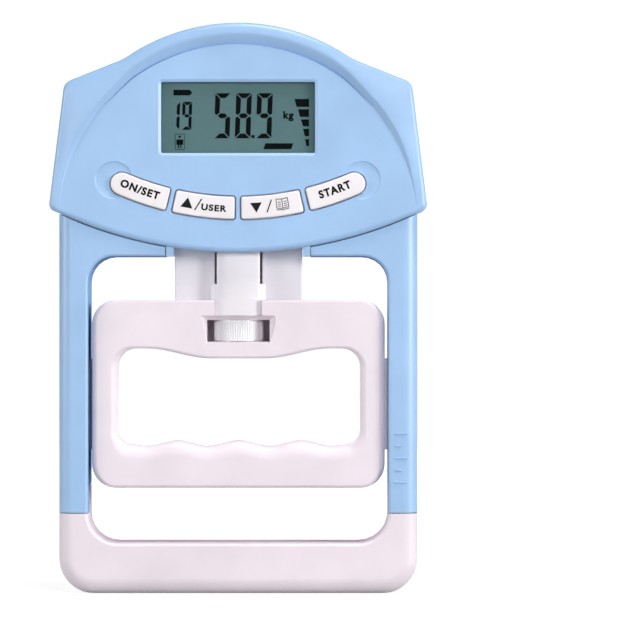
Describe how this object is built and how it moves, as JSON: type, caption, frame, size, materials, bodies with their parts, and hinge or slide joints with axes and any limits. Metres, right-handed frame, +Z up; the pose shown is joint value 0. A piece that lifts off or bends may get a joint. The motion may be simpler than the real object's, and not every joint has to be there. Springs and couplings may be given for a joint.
{
  "type": "hand dynamometer",
  "caption": "Electronic grip strength tester: an arched head with a screen and keys, two arms, a palm bar and an adjustable inner grip.",
  "frame": {"origin": "under the middle of the palm bar, on the surface that it stands on", "axes": "+Z up towards the head, +Y to the back of the head, +X to the right as seen from the front"},
  "size_m": [0.1288, 0.03, 0.1945],
  "materials": {
    "blue_plastic": "smooth satin light blue",
    "pink_white_plastic": "smooth satin pinkish white",
    "cool_white_plastic": "smooth satin cool white",
    "key_plastic": "matt pinkish white with printed marks",
    "knob_plastic": "white, knurled",
    "guide_plastic": "greyish mauve acetal",
    "steel": "zinc-plated",
    "cell_aluminium": "milled",
    "brass": "turned",
    "clear_lens": "clear acrylic",
    "lcd_glass": "grey-green with dark segments",
    "black_plastic": "moulded black",
    "contact_rubber": "striped elastomer",
    "board": "green solder mask",
    "battery_can": "printed plain wrapper",
    "lead_insulation": "insulated wire"
  },
  "bodies": {
    "frame": {"rear_housing": "blue_plastic", "head_cover": "blue_plastic", "left_arm_cover": "blue_plastic", "right_arm_cover": "blue_plastic", "palm_bar_front": "pink_white_plastic", "palm_bar_rear": "pink_white_plastic", "steel_strip": "steel", "load_bracket": "steel", "bracket_screws": "steel", "load_cell": "cell_aluminium", "cell_screws": "steel", "lens": "clear_lens", "lcd_panel": "lcd_glass", "lcd_holder": "black_plastic", "contact_strip": "contact_rubber", "main_board": "board", "board_screws": "steel", "chips": "black_plastic", "tact_switches": "steel", "battery_left": "battery_can", "battery_right": "battery_can", "battery_contacts": "steel", "battery_springs": "steel", "housing_screws": "steel", "arm_screws": "steel", "palm_screws": "steel", "gauge_lead": "lead_insulation", "battery_leads": "lead_insulation"},
    "pull_rod": {"hanger_bolt": "steel", "hanger_washer": "steel", "draw_tube": "brass"},
    "grip": {"grip_front": "pink_white_plastic", "grip_rear": "pink_white_plastic", "neck": "cool_white_plastic", "left_guide": "guide_plastic", "right_guide": "guide_plastic", "thrust_washers": "steel", "grip_screws": "steel"},
    "knob_wheel": {"knob": "knob_plastic", "adjusting_screw": "steel"},
    "door": {"battery_door": "blue_plastic"},
    "key_power": {"key_power": "key_plastic"},
    "key_up": {"key_up": "key_plastic"},
    "key_down": {"key_down": "key_plastic"},
    "key_start": {"key_start": "key_plastic"}
  },
  "joints": [
    {"name": "squeeze", "type": "slide", "parent": "frame", "child": "pull_rod", "axis": [0, 0, -1], "range_m": [0, 0.0004], "stiffness_N_per_m": 2200000, "deforming": ["load_cell"]},
    {"name": "grip_adjust", "type": "slide", "parent": "pull_rod", "child": "grip", "axis": [0, 0, 1], "range_m": [-0.0055, 0.01]},
    {"name": "knob_turn", "type": "hinge", "parent": "grip", "child": "knob_wheel", "pos_m": [0, 0, 0.0896], "axis": [0, 0, 1], "range_deg": [-1000, 1810]},
    {"name": "door_hinge", "type": "hinge", "parent": "frame", "child": "door", "pos_m": [0, 0.015, 0.1615], "axis": [-1, 0, 0], "range_deg": [0, 90]},
    {"name": "key_power_press", "type": "slide", "parent": "frame", "child": "key_power", "axis": [0, 1, 0], "range_m": [0, 0.0006], "stiffness_N_per_m": 1500, "springref_m": -0.0004},
    {"name": "key_up_press", "type": "slide", "parent": "frame", "child": "key_up", "axis": [0, 1, 0], "range_m": [0, 0.0006], "stiffness_N_per_m": 1500, "springref_m": -0.0004},
    {"name": "key_down_press", "type": "slide", "parent": "frame", "child": "key_down", "axis": [0, 1, 0], "range_m": [0, 0.0006], "stiffness_N_per_m": 1500, "springref_m": -0.0004},
    {"name": "key_start_press", "type": "slide", "parent": "frame", "child": "key_start", "axis": [0, 1, 0], "range_m": [0, 0.0006], "stiffness_N_per_m": 1500, "springref_m": -0.0004}
  ],
  "couplings": [
    {"joint": "knob_turn", "follows": "grip_adjust", "rad_per_m": 3141.6}
  ]
}
